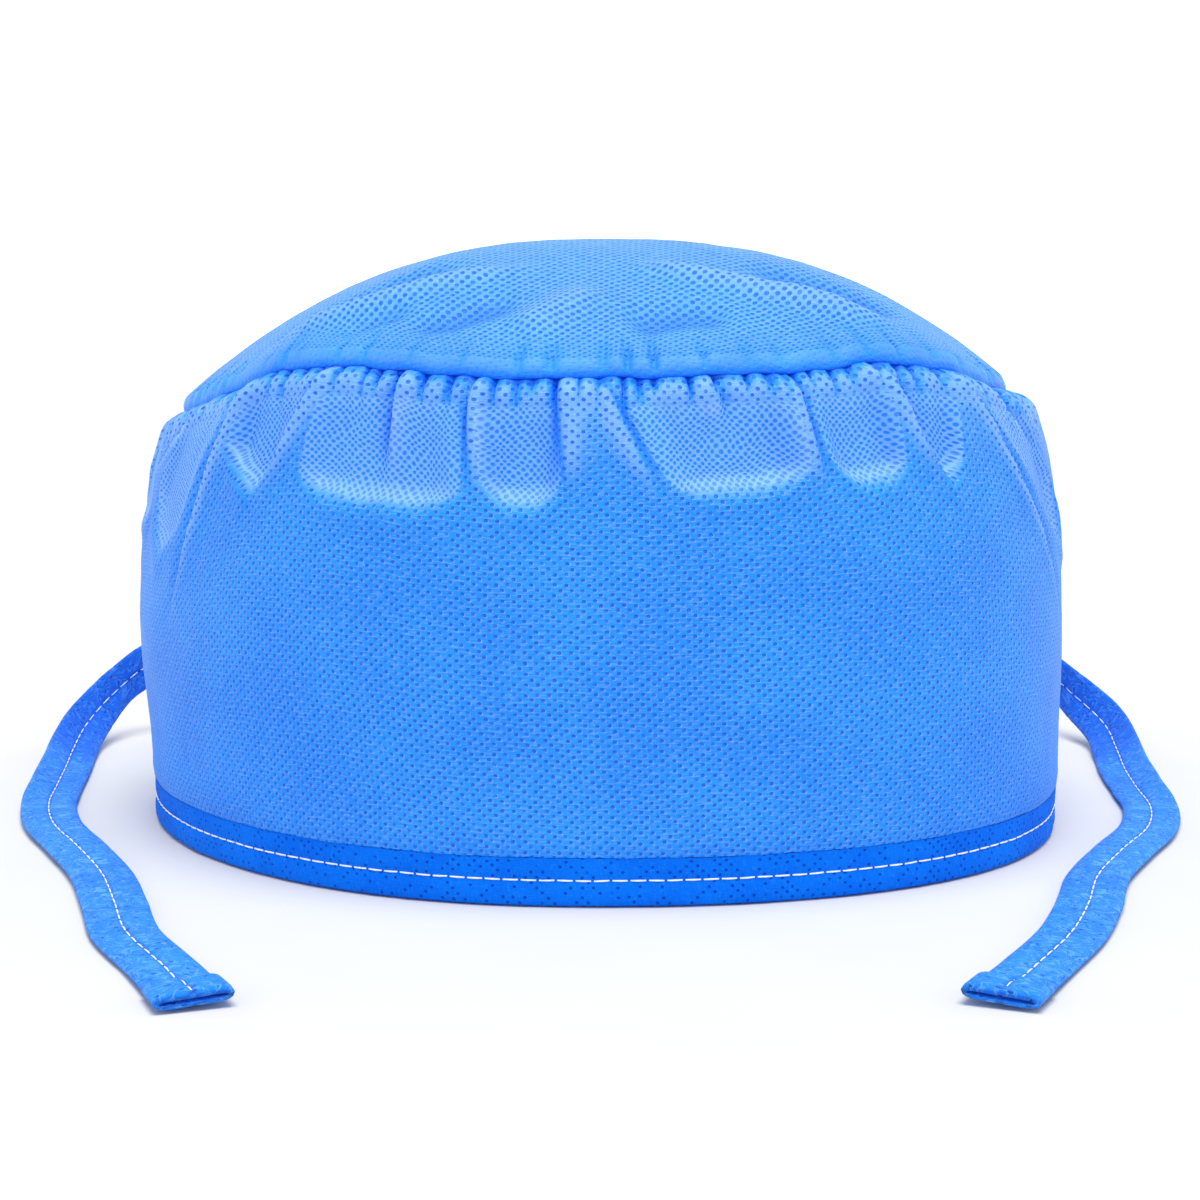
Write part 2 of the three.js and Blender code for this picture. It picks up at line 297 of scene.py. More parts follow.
def thread_look():
    """White sewing thread, faintly ribbed by its twist."""
    look = Look("white_thread", Roughness=0.6, Sheen_Weight=0.2)
    place = look.node("ShaderNodeTexCoord", {}, {})["Object"]
    twist = look.node("ShaderNodeTexNoise", {}, {
        "Vector": place, "Scale": THREAD_RIBS_PER_METRE, "Detail": 1})
    look.feed("Base Color", look.mix(twist, THREAD_SHADE, THREAD_WHITE))
    look.relief(twist, THREAD_RIB_TALL)
    return look.material


def ease(share):
    """Smooth step from 0 to 1, flat outside them."""
    held = min(1.0, max(0.0, share))
    return held * held * (3 - 2 * held)


def mix(first, second, share):
    """From the first number to the second, by a share of 0 to 1."""
    return first + (second - first) * share


def bell(offset, wide):
    """Soft bump of height 1, wide is where it has fallen to about a third."""
    return math.exp(-(offset / wide) ** 2)


def through(table, at):
    """Values of a smooth curve through the rows of a table, (key, value, ...) each, at a key."""
    last = len(table) - 1
    row = 1
    while row < last and table[row][0] < at:
        row += 1
    low, high = table[row - 1], table[row]
    before, after = table[max(row - 2, 0)], table[min(row + 1, last)]
    span = high[0] - low[0]
    share = (at - low[0]) / span
    values = []
    for column in range(1, len(low)):
        start = (high[column] - before[column]) / (high[0] - before[0]) * span
        end = (after[column] - low[column]) / (after[0] - low[0]) * span
        rise = high[column] - low[column]
        values.append(low[column] + share * (start + share * (
            3 * rise - 2 * start - end + share * (start + end - 2 * rise))))
    return values


def finished(bm, name, look, flat_place, period=0.0):
    """Makes the named piece from a bmesh. flat_place says where a vertex lies on the flat cloth,
    in metres, and period is the length after which the cloth meets itself."""
    bmesh.ops.recalc_face_normals(bm, faces=bm.faces[:])
    places = {vert: flat_place(vert) for vert in bm.verts}
    cloth = bm.loops.layers.uv.new("cloth")
    for face in bm.faces:
        face.smooth = True
        start = places[face.loops[0].vert][0]
        for loop in face.loops:
            along, across = places[loop.vert]
            if period:
                along += period * round((start - along) / period)
            loop[cloth].uv = (along, across)
    mesh = bpy.data.meshes.new(name)
    bm.to_mesh(mesh)
    bm.free()
    mesh.materials.append(look)
    made = bpy.data.objects.new(name, mesh)
    bpy.context.collection.objects.link(made)
    return made


def tie_stations(route):
    """Evenly spaced stations of a tie, each as a row of its route, and the tie's length."""
    keyed = [(0.0, *route[0])]
    for row in route[1:]:
        gap = (Vector(row[:2]) - Vector(keyed[-1][1:3])).length
        keyed.append((keyed[-1][0] + gap, *row))
    plan_long = keyed[-1][0]
    fine = [through(keyed, plan_long * k / TIE_ROUTE_STEPS) for k in range(TIE_ROUTE_STEPS + 1)]
    run = [0.0]
    for a, b in zip(fine, fine[1:]):
        run.append(run[-1] + math.dist((a[0], a[1], a[3]), (b[0], b[1], b[3])))
    stations = []
    k = 0
    for ring in range(TIE_RINGS + 1):
        goal = run[-1] * ring / TIE_RINGS
        while k < len(run) - 2 and run[k + 1] < goal:
            k += 1
        share = (goal - run[k]) / (run[k + 1] - run[k])
        stations.append([mix(a, b, share) for a, b in zip(fine[k], fine[k + 1])])
    return stations, run[-1]


def tie_frames(route, side):
    """For each station: its middle, the two directions across the strap, and its two faces."""
    stations, length = tie_stations(route)
    frames = []
    for ring, (x, y, outer, middle, inner) in enumerate(stations):
        before, after = stations[max(ring - 1, 0)], stations[min(ring + 1, TIE_RINGS)]
        along = Vector((after[0] - before[0], after[1] - before[1], after[3] - before[3]))
        along.normalize()
        level = Vector((-along.y, along.x, 0)).normalized() * side
        halves = []
        for lift, way in ((outer - middle, 1), (inner - middle, -1)):
            rise = max(-1.0, min(1.0, lift / (TIE_WIDE / 2)))
            across = level * math.sqrt(1 - rise * rise) + Vector((0, 0, rise * way))
            face = across.cross(along) * -side
            halves.append((across, face.normalized()))
        frames.append((Vector((x, y, middle)), halves))
    return frames, length


def tie_section(turn):
    """Place round a tie's section: w from -1 at the inner edge to 1 at the outer one, and face
    from -1 underneath to 1 on top. The section is flat, with rounded edges where the points
    crowd."""
    even = 1 - 2 * abs(turn) / math.pi
    w = mix(even, math.sin(even * math.pi / 2), 0.6)
    return w, math.copysign(math.sqrt(max(0.0, 1 - abs(w) ** 7)), turn)


def make_tie(name, route, side, look, thread, seed):
    """One strap and its stitches, with the path of its middle and its length."""
    frames, length = tie_frames(route, side)
    hem_start = length - TIE_HEM_LONG

    def size_at(run):
        """Half-width and half-thickness of the strap, run metres from the cap. It nicks in just
        before the hem, and its outline sways a little."""
        hem = ease((run - hem_start) / TIE_HEM_STEP)
        shut = 0.04 * max(0.0, 1 - (length - run) / (0.5 * MM)) ** 2
        nick = 0.3 * bell(run - hem_start + 0.3 * MM, 0.5 * MM)
        sway = 0.02 * noise.noise(Vector((run / (11 * MM), seed, 0)))
        return (mix(TIE_WIDE, TIE_HEM_WIDE, hem) / 2 * (1 + sway),
                mix(TIE_THICK, TIE_HEM_THICK, hem) / 2 * (1 - shut - nick))

    def point(run, w, face, slit):
        """A point run metres from the cap, at a place of the section. slit is true inside the
        open end of the hem, whose lips narrow and lean on the lower one."""
        ring = min(TIE_RINGS, max(0, run / length * TIE_RINGS))
        low = min(TIE_RINGS - 1, int(ring))
        middle = frames[low][0].lerp(frames[low + 1][0], ring - low)
        half, thick = size_at(run)
        outer, inner = frames[low][1]
        across, normal = outer if w > 0 else inner
        crease = (outer[1] + inner[1]).normalized()
        normal = normal.lerp(crease, bell(w, 0.12)).normalized()
        # The hem is thicker, and still lies on the table.
        middle = middle + Vector((0, 0, max(0.0, thick - TIE_THICK / 2)))
        if slit:
            low_lip = normal * (0.24 * face - 0.2) * thick
            return middle + across * w * (half - SLIT_WALL) + low_lip
        # The thread draws a groove along the middle, deepest at its holes.
        to_end = length - run
        off_hole = (run / TIE_STITCH_PITCH) % 1 - 0.5
        sunk = TIE_CREASE_SINK * bell(w, 0.07)
        sunk += TIE_HOLE_SINK * bell(off_hole, 0.14) * bell(w, 0.1)
        sunk *= mix(0.25, 1.0, ease(to_end / (2.5 * MM)))
        # The cloth is crumpled, but not along its folded edges nor at its end.
        crumple = noise.noise(Vector((run / (4.5 * MM), w * 2.2, seed + 3.0)))
        fine = noise.noise(Vector((run / (1.9 * MM), w * 5.0, seed + 9.0)))
        loose = (1 - bell(abs(w) - 1, 0.12)) * mix(0.12, 1.0, ease(to_end / (9 * MM) - 0.8))
        puff = 1 - sunk + TIE_CRUMPLE * (crumple + fine / 2) * loose
        return middle + across * w * half + normal * thick * face * puff

    bm = bmesh.new()
    bmesh.ops.create_cone(bm, cap_ends=True, segments=TIE_SIDES, radius1=1, radius2=1, depth=1)
    rails = [edge for edge in bm.edges if abs(edge.verts[0].co.z - edge.verts[1].co.z) > 0.5]
    bmesh.ops.subdivide_edges(bm, edges=rails, cuts=TIE_RINGS + 1)
    places = {}
    # Painted shade of each point, from 0 down, for the strap's look.
    painted_light = bm.verts.layers.float.new("painted_light")
    for vert in bm.verts:
        # Two more rings than the strap has: they fold in at its end and line the slit.
        ring = round((vert.co.z + 0.5) * (TIE_RINGS + 2))
        turn = math.atan2(vert.co.y, vert.co.x)
        w, face = tie_section(turn)
        run = length * min(ring, TIE_RINGS) / TIE_RINGS
        folded_in = max(0, ring - TIE_RINGS) * TIE_THICK
        places[vert] = (run + folded_in, turn / math.pi * TIE_WIDE)
        # The crease along the stitches, the hem's groove and the slit are painted darker, a painted
        # shade.
        hem_groove = bell(run - hem_start + 0.2 * MM, 0.5 * MM)
        vert[painted_light] = -0.8 * bell(w, 0.08) - 1.2 * hem_groove
        if ring > TIE_RINGS:
            vert[painted_light] = -1.0
        if ring == TIE_RINGS + 2:
            run -= SLIT_DEEP
        vert.co = point(run, w, face, ring > TIE_RINGS)
        # Behind each of its two kinks the strap turns further away from the light, and is painted
        # darker there, a painted shade.
        behind = vert.co.y / MM
        vert[painted_light] -= 0.3 * ease((behind - FRONT_KINK) / 4)
        vert[painted_light] -= 0.5 * ease((behind - REAR_KINK) / 12)
    tie = finished(bm, name, look, lambda vert: places[vert])

    # Each stitch lies between two holes, and the last one ends before the strap does.
    bm = bmesh.new()
    half_share = TIE_STITCH_LONG / TIE_STITCH_PITCH / 2
    for stitch in range(int(length / TIE_STITCH_PITCH - half_share)):
        start = (stitch + 1 - half_share) * TIE_STITCH_PITCH
        end = (stitch + 1 + half_share) * TIE_STITCH_PITCH
        halves = frames[int(start / length * TIE_RINGS)][1]
        up = (halves[0][1] + halves[1][1]).normalized()
        lift = up * TIE_STITCH_LIFT
        add_stitch(bm, point(start, 0.0, 1.0, False) + lift, point(end, 0.0, 1.0, False) + lift,
                   up, TIE_THREAD_RADIUS)
    stitches = finished(bm, name + "_stitches", thread, lambda vert: (0.0, 0.0))
    return tie, stitches, [middle for middle, halves in frames], length


STITCH_SAG = 0.12 * MM
STITCH_FLAT = 0.8


def add_stitch(bm, start, end, up, thick):
    """One stitch of thread: a small capsule that sags towards its ends, a little flattened."""
    along = end - start
    half = along.length / 2
    along.normalize()
    side = along.cross(up).normalized()
    made = bmesh.ops.create_uvsphere(bm, u_segments=8, v_segments=6, radius=1)["verts"]
    for vert in made:
        reach_out = vert.co.z * thick
        if abs(vert.co.z) > 0.1:
            reach_out += math.copysign(half - thick, vert.co.z)
        sag = STITCH_SAG * (reach_out / half) ** 2
        vert.co = ((start + end) / 2 + along * reach_out + side * vert.co.x * thick
                   + up * (vert.co.y * thick * STITCH_FLAT - sag))


tie_cloth = strap_look()
white_thread = thread_look()
for hand, side, seed in (("left", -1, 1.0), ("right", 1, 5.0)):
    tie, tie_stitches, tie_path, tie_length = make_tie(
        "tie_strap_" + hand, TIE_ROUTES[hand], side, tie_cloth, white_thread, seed)
    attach(tie, "root")
    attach(tie_stitches, "root")
    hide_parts("tie_" + hand)


# ---- Binding -----------------------------------------------------------------------------
# A strip of stronger blue cloth folded in half over the lower edge of the band, like bias tape.
# One row of white running stitch goes through it all round and draws small puckers.

binding_low, binding_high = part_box("hem_band")
BINDING_TALL = binding_high.z - binding_low.z
BINDING_WIDE = (binding_high.x - binding_low.x) / 2
BINDING_DEEP = (binding_high.y - binding_low.y) / 2
BINDING_SWAY = (binding_high.x + binding_low.x) / 2
BINDING_CLOTH_WIDE = 22 * MM
BINDING_STITCHES = 188
BINDING_STITCH_SHARE = 0.86
BINDING_THREAD_RADIUS = 0.165 * MM
BINDING_STEPS_PER_STITCH = 6
BINDING_ROWS = 34
STITCH_HIGH = 4.85 * MM
STITCH_AT = 0.23
STITCH_SINK = 0.26
HOLE_SINK = 0.22

# Section of the folded strip: down the outside, under the fold, up the inside, and back along
# the slot that holds the band. Share of the way, then out and up in millimetres. The stitches
# go through at STITCH_AT.
BINDING_SECTION = [
    (0.0, -0.22, 9.0), (0.04, -0.02, 8.6), (STITCH_AT, -0.02, 4.85), (0.4, -0.06, 1.5),
    (0.45, -0.42, 0.45), (0.5, -1.7, 0.06), (0.55, -2.95, 0.45), (0.6, -3.35, 1.8),
    (0.75, -3.5, 8.9), (0.77, -3.3, 9.15), (0.8, -3.05, 8.9), (0.85, -2.9, 2.2),
    (0.89, -1.9, 1.2), (0.93, -0.95, 2.4), (0.975, -0.8, 8.2), (0.99, -0.48, 9.1),
    (1.0, -0.22, 9.0),
]


OVAL_POWER = 2.12
OVAL_FULLER_RIGHT = 0.22


def reach(turn, wide, deep):
    """Distance from the middle to the cap's outline on plan, a rounded oval that is a little
    fuller on its right-hand side. turn is 0 at the front."""
    power = OVAL_POWER + OVAL_FULLER_RIGHT * math.sin(turn)
    across = (abs(math.sin(turn)) / wide) ** power
    along = (abs(math.cos(turn)) / deep) ** power
    return (across + along) ** (-1 / power)


SWAY_TALL = 36 * MM
TOP_LEAN = 0.9 * MM
TOP_LEAN_FROM = 60 * MM
TOP_LEAN_TALL = 20 * MM


def place(turn, radius, z):
    """A point of the cap. The binding stands a little to one side of the body's middle, and the
    right-hand side of the gathered top leans in."""
    sway = BINDING_SWAY * (1 - ease((z - BINDING_TALL) / SWAY_TALL))
    sway -= TOP_LEAN * ease((z - TOP_LEAN_FROM) / TOP_LEAN_TALL) * max(0.0, math.sin(turn))
    return Vector((radius * math.sin(turn) + sway, -radius * math.cos(turn), z))


def spun(rows, steps):
    """A wall of radius 1 spun from one upright line: z runs from 0 to 1 over its rows."""
    bm = bmesh.new()
    ends = [bm.verts.new((0, -1, 0)), bm.verts.new((0, -1, 1))]
    line = bm.edges.new(ends)
    bmesh.ops.subdivide_edges(bm, edges=[line], cuts=rows - 1)
    bmesh.ops.spin(bm, geom=bm.verts[:] + bm.edges[:], cent=(0, 0, 0), axis=(0, 0, 1),
                   angle=math.tau, steps=steps, use_merge=True)
    return bm


BINDING_BLUE = dye(0, 108, 240)
BINDING_BLUE_LIGHT = dye(3, 118, 246)
# A painted highlight for the crests of the pulls.
BINDING_PULL_HIGHLIGHT = dye(38, 140, 250)
BINDING_PIT = dye(0, 58, 190)
PIT_DEEP = 0.4 * MM


def binding_look():
    """Double cloth, so its blue is stronger. Short slanting pulls run from the stitches, and the
    crests of the pulls and fibres get a painted highlight.
    """
    look = Look("binding_look", Roughness=0.75, Sheen_Weight=0.03, Sheen_Roughness=0.25,
                Sheen_Tint=(0.5, 0.8, 1.0, 1.0), Specular_IOR_Level=0.06)
    distance, chance = pressed_points(look, LATTICE, 0.9 * MM)
    pit = look.step(distance, 0.25, 0.1) * look.step(chance, 0.45, 0.6)
    flat = look.flat()
    pull = look.speckle(look.slanted(flat, 0.75, 3.2, 0.8), 1.5 * MM, 2.5, 0.6)
    fibre = look.speckle(look.slanted(flat, 0.1, 1.0, 5.0), 1.6 * MM, 3.0, 0.6)
    blotch = look.speckle(flat, 16 * MM)
    height = 0.55 * pull + 0.4 * fibre - 0.5 * pit
    body = look.mix(look.step(blotch, 0.3, 0.7), BINDING_BLUE, BINDING_BLUE_LIGHT)
    # The crests of the pulls and fibres are painted paler, a painted highlight.
    painted_light = look.mix(look.step(height, 0.46, 0.7) * 0.45, body, BINDING_PULL_HIGHLIGHT)
    look.feed("Base Color", look.mix(pit * 0.8, painted_light, BINDING_PIT))
    look.relief(height, PIT_DEEP)
    return look.material


@functools.lru_cache(None)
def binding_row(share):
    return through(BINDING_SECTION, share)


def binding_point(turn, share, holes=1.0):
    """A point of the binding. It sinks along the stitches and most at their holes, which holes=0
    leaves out for the thread, and it swells and pulls between them."""
    out, up = binding_row(share)
    arc = turn * BINDING_WIDE
    outside = ease((out + 0.7) / 0.4)
    from_stitch = up * MM - STITCH_HIGH
    hole = (turn / math.tau * BINDING_STITCHES) % 1 - 0.5
    sunk = STITCH_SINK * bell(from_stitch, 0.8 * MM)
    sunk += holes * HOLE_SINK * bell(hole, 0.13) * bell(from_stitch, 0.6 * MM)
    pull = noise.noise(Vector(((arc + 0.7 * from_stitch) / (2.1 * MM), from_stitch / (7 * MM), 2)))
    swell = noise.noise(Vector((arc / (9 * MM), from_stitch / (9 * MM), 7.0)))
    out += outside * (0.13 * pull + 0.16 * swell - sunk)
    up += 0.2 * noise.noise(Vector((arc / (13 * MM), 4.0, 0))) * ease((up - 7.5) / 1.5)
    radius = reach(turn, BINDING_WIDE, BINDING_DEEP)
    return place(turn, radius + out * MM, max(0.02, up) * MM)


bm = spun(BINDING_ROWS, BINDING_STITCHES * BINDING_STEPS_PER_STITCH)
binding_round = math.tau * (BINDING_WIDE + BINDING_DEEP) / 2
binding_flat = {}
for vert in bm.verts:
    turn, share = math.atan2(vert.co.x, -vert.co.y), round(vert.co.z, 5)
    binding_flat[vert] = (turn / math.tau * binding_round, share * BINDING_CLOTH_WIDE)
    vert.co = binding_point(turn, share)
bmesh.ops.remove_doubles(bm, verts=bm.verts[:], dist=0.001 * MM)
binding = finished(bm, "binding", binding_look(), lambda vert: binding_flat[vert], binding_round)

bm = bmesh.new()
for stitch in range(BINDING_STITCHES):
    # A stitch runs from one hole almost to the next.
    points = []
    for share in (-BINDING_STITCH_SHARE / 2, BINDING_STITCH_SHARE / 2):
        turn = (stitch + 1 + share) / BINDING_STITCHES * math.tau - math.pi
        out = Vector((math.sin(turn), -math.cos(turn), 0))
        line = binding_point(turn, STITCH_AT, holes=0.0)
        line.z = STITCH_HIGH + 0.1 * MM * noise.noise(Vector((turn * 40, 0, 0)))
        points.append(line + out * 0.1 * MM)
    add_stitch(bm, points[0], points[1], out, BINDING_THREAD_RADIUS)
binding_stitches = finished(bm, "binding_stitches", white_thread, lambda vert: (0.0, 0.0))

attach(binding, "root")
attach(binding_stitches, "root")
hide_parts("hem_band")


# ---- Side band ---------------------------------------------------------------------------
# One long strip of cloth, joined at the back, stands up from the binding. Its upper edge is
# gathered under the crown: the fullness falls in shallow pockets between soft ridges, each
# pocket closed below by a rounded shelf, and the lower two thirds stay smooth.

# Height of the seam under the crown: direction in degrees, 0 at the front, and millimetres.
SEAM = [
    (-180, 85.0), (-150, 85.0), (-128, 85.0), (-108, 83.0), (-92, 82.0), (-78, 82.4), (-64, 84.6),
    (-50, 88.6), (-43, 91.3), (-35, 92.5), (-28, 92.4), (-21, 91.6), (-15, 90.8), (-4, 90.6),
    (6, 90.8), (15, 91.1), (24, 91.6), (35, 93.1), (40, 92.4), (48, 91.2), (56, 88.8),
    (66, 87.0), (80, 86.2), (92, 86.0), (108, 85.5), (128, 85.0), (150, 85.0), (180, 85.0),
]

# Height where the seam is 90 high, how far a row rises with the seam, and the half-width
# and half-depth of the wall, in millimetres.
SEAM_LEVEL = 90
BAND_ROWS = [
    (4.0, 0.0, 91.8, 93.8), (7.6, 0.0, 91.9, 93.9), (9.05, 0.0, 92.45, 94.45),
    (9.7, 0.0, 93.0, 95.0), (10.8, 0.0, 93.2, 95.15), (13.0, 0.0, 93.3, 95.2),
    (22, 0.1, 93.5, 95.35), (38, 0.3, 94.1, 96.0), (52, 0.5, 93.9, 95.7), (62, 0.65, 93.3, 94.9),
    (70, 0.8, 92.5, 94.0), (77, 0.9, 91.6, 92.8), (82, 1.0, 90.6, 91.5), (85.5, 1.0, 89.5, 90.4),
    (87.8, 1.0, 88.2, 89.4), (89.2, 1.0, 86.8, 88.2), (90.0, 1.0, 85.4, 86.6),
    (90.2, 1.0, 84.1, 84.9), (90.3, 1.0, 82.6, 83.2),
]

# Pockets: left and right border at the seam and at the shelf in degrees, how far below the
# seam the shelf lies and how deep the pocket is in millimetres, where its lowest point is
# between the borders, and whether its foot is round (0) or pointed (1).
POCKETS = [
    (-62, -76, -48.5, -60, 30, 1.5, 0.7, 1.0),
    (-46.5, -50, -33.2, -41, 21.5, 3.4, 0.85, 1.0),
    (-32.5, -36, -14.8, -13.4, 22.5, 3.3, 0.55, 0.0),
    (-14.0, -12.3, -4.5, -2.8, 21.5, 4.0, 0.5, 0.0),
    (0.8, 8.0, 22.2, 24.4, 19.8, 3.8, 0.3, 0.0),
    (23.0, 26.2, 33.5, 35.8, 19.8, 3.6, 0.5, 0.0),
    (34.4, 37.6, 44.6, 43.6, 20.0, 3.2, 0.6, 1.0),
    (46.3, 67, 60, 78, 30, 1.7, 0.3, 1.0),
]

# Sharp folds that leave the seam: where they start and end in degrees, how long they are and
# how far they stand out in millimetres, and on which side the dark groove lies.
FOLDS = [
    (-58, -74, 13, 0.8, -1), (-47, -60.5, 44, 1.3, -1), (-32.8, -41.5, 23, 1.5, -1),
    (-23, -24, 19, 1.5, -1), (-14.4, -13, 21, 1.2, -1), (-4.1, -3.2, 19, 1.5, -1),
    (0.4, 7.4, 21, 1.1, 1), (13.4, 14.5, 9, 1.1, 1), (22.5, 25.0, 20, 1.4, 1),
    (33.9, 40.0, 20, 1.4, 1), (45.7, 69, 46, 1.4, 1), (53, 66, 12, 0.8, 1), (60, 75, 11, 0.7, 1),
]

# The sides and the back are gathered in the same way, in a row of like pockets. They are
# shallow at the sides, where the band is pulled tight.
BACK_POCKET_EVERY = 13
BACK_POCKET_WIDE = 11
SIDE_AT = 92
SIDE_WIDE = 20
SIDE_SHALLOW = 0.35
draw = random.Random(7)
for start in range(80, 280, BACK_POCKET_EVERY):
    turn = start - 360 if start > 180 else start
    end = turn + BACK_POCKET_WIDE
    lean = draw.uniform(-3, 3)
    deep = draw.uniform(2.0, 3.2) * (SIDE_SHALLOW if abs(abs(turn) - SIDE_AT) < SIDE_WIDE else 1.0)
    fall = draw.uniform(19, 25)
    POCKETS.append((turn, turn + lean, end, end + lean, fall, deep, 0.5, 0.0))
    FOLDS.append((turn - 1, turn - 1 + lean, fall * 0.9, draw.uniform(0.5, 0.9), 1))

BAND_STEPS = 640
BAND_LINES = 70
BAND_LINES_CROWD = 1.55
FRONT_SHARE = 0.5
BAND_CLOTH_TALL = 96 * MM
BAND_CLOTH_ROUND = 2 * math.pi * 94.6 * MM
CLOTH_THICK = 0.4 * MM
BACK_SEAM_DEEP = 0.6
BACK_SEAM_WIDE = 0.5625


def turn_between(turn, other):
    """Degrees from one direction to another, the short way round."""
    return (turn - other + 180) % 360 - 180


def random_tucks(seed, gap, wide, deep, long):
    """Small tucks all round the seam: direction and width in degrees, depth and length in mm.
    The arguments after the seed are the least and the most of each, and of the gap between."""
    dice = random.Random(seed)
    tucks = []
    turn = -180.0
    while turn < 178:
        # This number is thrown away: it keeps every tuck where it was once found to look right.
        dice.random()
        tucks.append((turn, dice.uniform(*wide), dice.uniform(*deep), dice.uniform(*long)))
        turn += dice.uniform(*gap)
    return tucks


# Pinches of the band right under the crown, and fewer and broader ones of the crown's lip.
BAND_TUCKS = random_tucks(11, (1.2, 4.2), (0.3, 0.7), (0.7, 2.2), (1.6, 5.5))
LIP_TUCKS = random_tucks(29, (2.2, 7.5), (0.35, 0.9), (0.8, 2.8), (2.5, 7.0))
TUCK_REACH = 2.6


@functools.lru_cache(None)
def tucks_near(degrees, of_lip):
    """The few tucks that reach a direction, each with its strength there, depth and length."""
    near = []
    for turn, wide, deep, long in LIP_TUCKS if of_lip else BAND_TUCKS:
        off = turn_between(degrees, turn) / wide
        if abs(off) < TUCK_REACH:
            near.append((bell(off, 1.0), deep, long))
    return near


SEAM_WAVE = 0.45
SEAM_WAVES = 14


@functools.lru_cache(None)
def seam_high(degrees):
    """Height of the seam, a little wavy from the gathers."""
    around = Vector((math.cos(math.radians(degrees)), math.sin(math.radians(degrees)), 0))
    return through(SEAM, degrees)[0] + SEAM_WAVE * noise.noise(around * SEAM_WAVES)


@functools.lru_cache(None)
def band_row(row):
    """Share of the seam's rise, half-width and half-depth of the wall at a height."""
    return through(BAND_ROWS, row)


def in_pocket(degrees, below):
    """How deep a place lies in a pocket: millimetres inwards, a share of 0 to 1, and how much
    it belongs to the shelf, from 0 to 1."""
    deepest, most, swell, shelf = 0.0, 0.0, 0.0, 0.0
    for left, left_low, right, right_low, fall, deep, lowest, pointed in POCKETS:
        share = below / fall
        if share > 1.3:
            continue
        edge_left = mix(left, left_low, share)
        inside = turn_between(degrees, edge_left) / (mix(right, right_low, share) - edge_left)
        if not 0.0 < inside < 1.0:
            continue
        # The shelf rises from its lowest point to both borders, steeply if it is pointed, and
        # foot is 1 on it. The pocket deepens down to the shelf, below which the wall swells.
        off = abs(inside - lowest) / max(lowest, 1 - lowest)
        foot = share / (1 - mix(0.22 * off ** 3, 0.5 * off ** 1.3, pointed))
        sides = ease(inside / 0.25) * ease((1 - inside) / 0.25)
        floor = math.sin(math.pi / 2 * min(1.0, max(0.0, (1 - foot) / 0.16)))
        deepest = max(deepest, deep * sides * floor * mix(0.5, 1.0, ease(foot / 0.7)))
        most = max(most, floor * ease(inside / 0.08) * ease((1 - inside) / 0.08))
        swell = max(swell, 0.5 * sides * bell(foot - 1.08, 0.1))
        shelf = max(shelf, ease(inside / 0.15) * ease((1 - inside) / 0.15)
                    * bell(min(0.0, foot - 0.95), 0.13) * bell(max(0.0, foot - 0.95), 0.05))
    return deepest - swell, most, shelf


MM_PER_DEGREE = 1.58
FOLD_REACH = 7
BAND_TOP_ROW = BAND_ROWS[-1][0]


def fold_height(degrees, below):
    """Ridges and grooves of the sharp folds: mm outwards, and their painted light and shade, -1 in
    a groove to 1 on a ridge.
    """
    height, shade = 0.0, 0.0
    for start, end, long, tall, groove in FOLDS:
        share = below / long
        if share > 1.2:
            continue
        off = turn_between(degrees, mix(start, end, share)) * MM_PER_DEGREE
        if abs(off) > FOLD_REACH:
            continue
        fade = ease((1.15 - share) / 0.8)
        # A pleat: it stands up steeply from the groove and falls off slowly on the far side.
        off *= -groove
        steep = ease(0.5 + off / (1.1 + 1.6 * share))
        height += tall * fade * mix(-1.5 * bell(off, 2.6), 0.8 * bell(off, 4.2), steep)
        shade += fade * mix(-1.3 * bell(off, 1.8), 0.95 * bell(off - 0.7, 2.4), steep)
    return height, shade


def band_point(degrees, row):
    """A point of the band in metres, how much of the gathers it has, 0 to 1, and its painted light
    and shade, from -1, painted shade in a groove, to 1, a painted highlight on a ridge."""
    turn = math.radians(degrees)
    follow, wide, deep = band_row(row)
    z = row + follow * (seam_high(degrees) - SEAM_LEVEL)
    below = max(0.0, SEAM_LEVEL - row)
    radius = reach(turn, wide, deep)
    sunk, gathered, shelf = in_pocket(degrees, below)
    # Right under the crown the cloth puffs out between the tucks.
    notch, pinch = 0.0, 0.0
    for part, tuck_deep, long in tucks_near(degrees, False):
        notch += part * tuck_deep * bell(below, long)
        pinch += part * bell(below, long)
    sunk += notch - 0.7 * bell(below - 1.6, 2.2)
    z -= 0.5 * notch * ease((4.5 - below) / 3.0) * ease((BAND_TOP_ROW - row) / 0.3)
    # The whole wall is a little uneven, with the seam drawn in at the back.
    body = place(turn, radius * MM, z * MM)
    loose = 0.35 * noise.noise(body / (17 * MM)) + 0.12 * noise.noise(body / (5 * MM))
    back_seam = BACK_SEAM_DEEP * bell(turn_between(degrees, 180), BACK_SEAM_WIDE)
    # The folds end at the turned edge, and the unevenness at the binding.
    folds, shade = fold_height(degrees, below)
    radius += (folds - sunk) * ease((90.4 - row) / 0.9)
    radius += (loose - back_seam) * ease((row - 9) / 6)
    # Shelves, puffs and the cloth between pockets stand up and get a painted highlight; the tucks
    # and the edge under the crown lie deep and get a painted shade.
    rear = ease((abs(turn_between(degrees, 0)) - 80) / 25)
    pinch = min(1.0, pinch)
    shade += mix(0.75, 0.3, rear) * shelf + 0.3 * ease((20 - below) / 12) * (1 - gathered)
    shade += 0.9 * bell(below - 2.6, 2.8) * (1 - pinch) - 1.2 * pinch
    shade -= 0.9 * bell(below, 0.7)
    gathered *= ease((below - 2.5) / 5.5) * mix(1.0, 0.55, rear)
    return place(turn, radius * MM, z * MM), gathered, shade


CAP_BLUE = dye(16, 136, 248)
CAP_BLUE_LIGHT = dye(26, 146, 252)
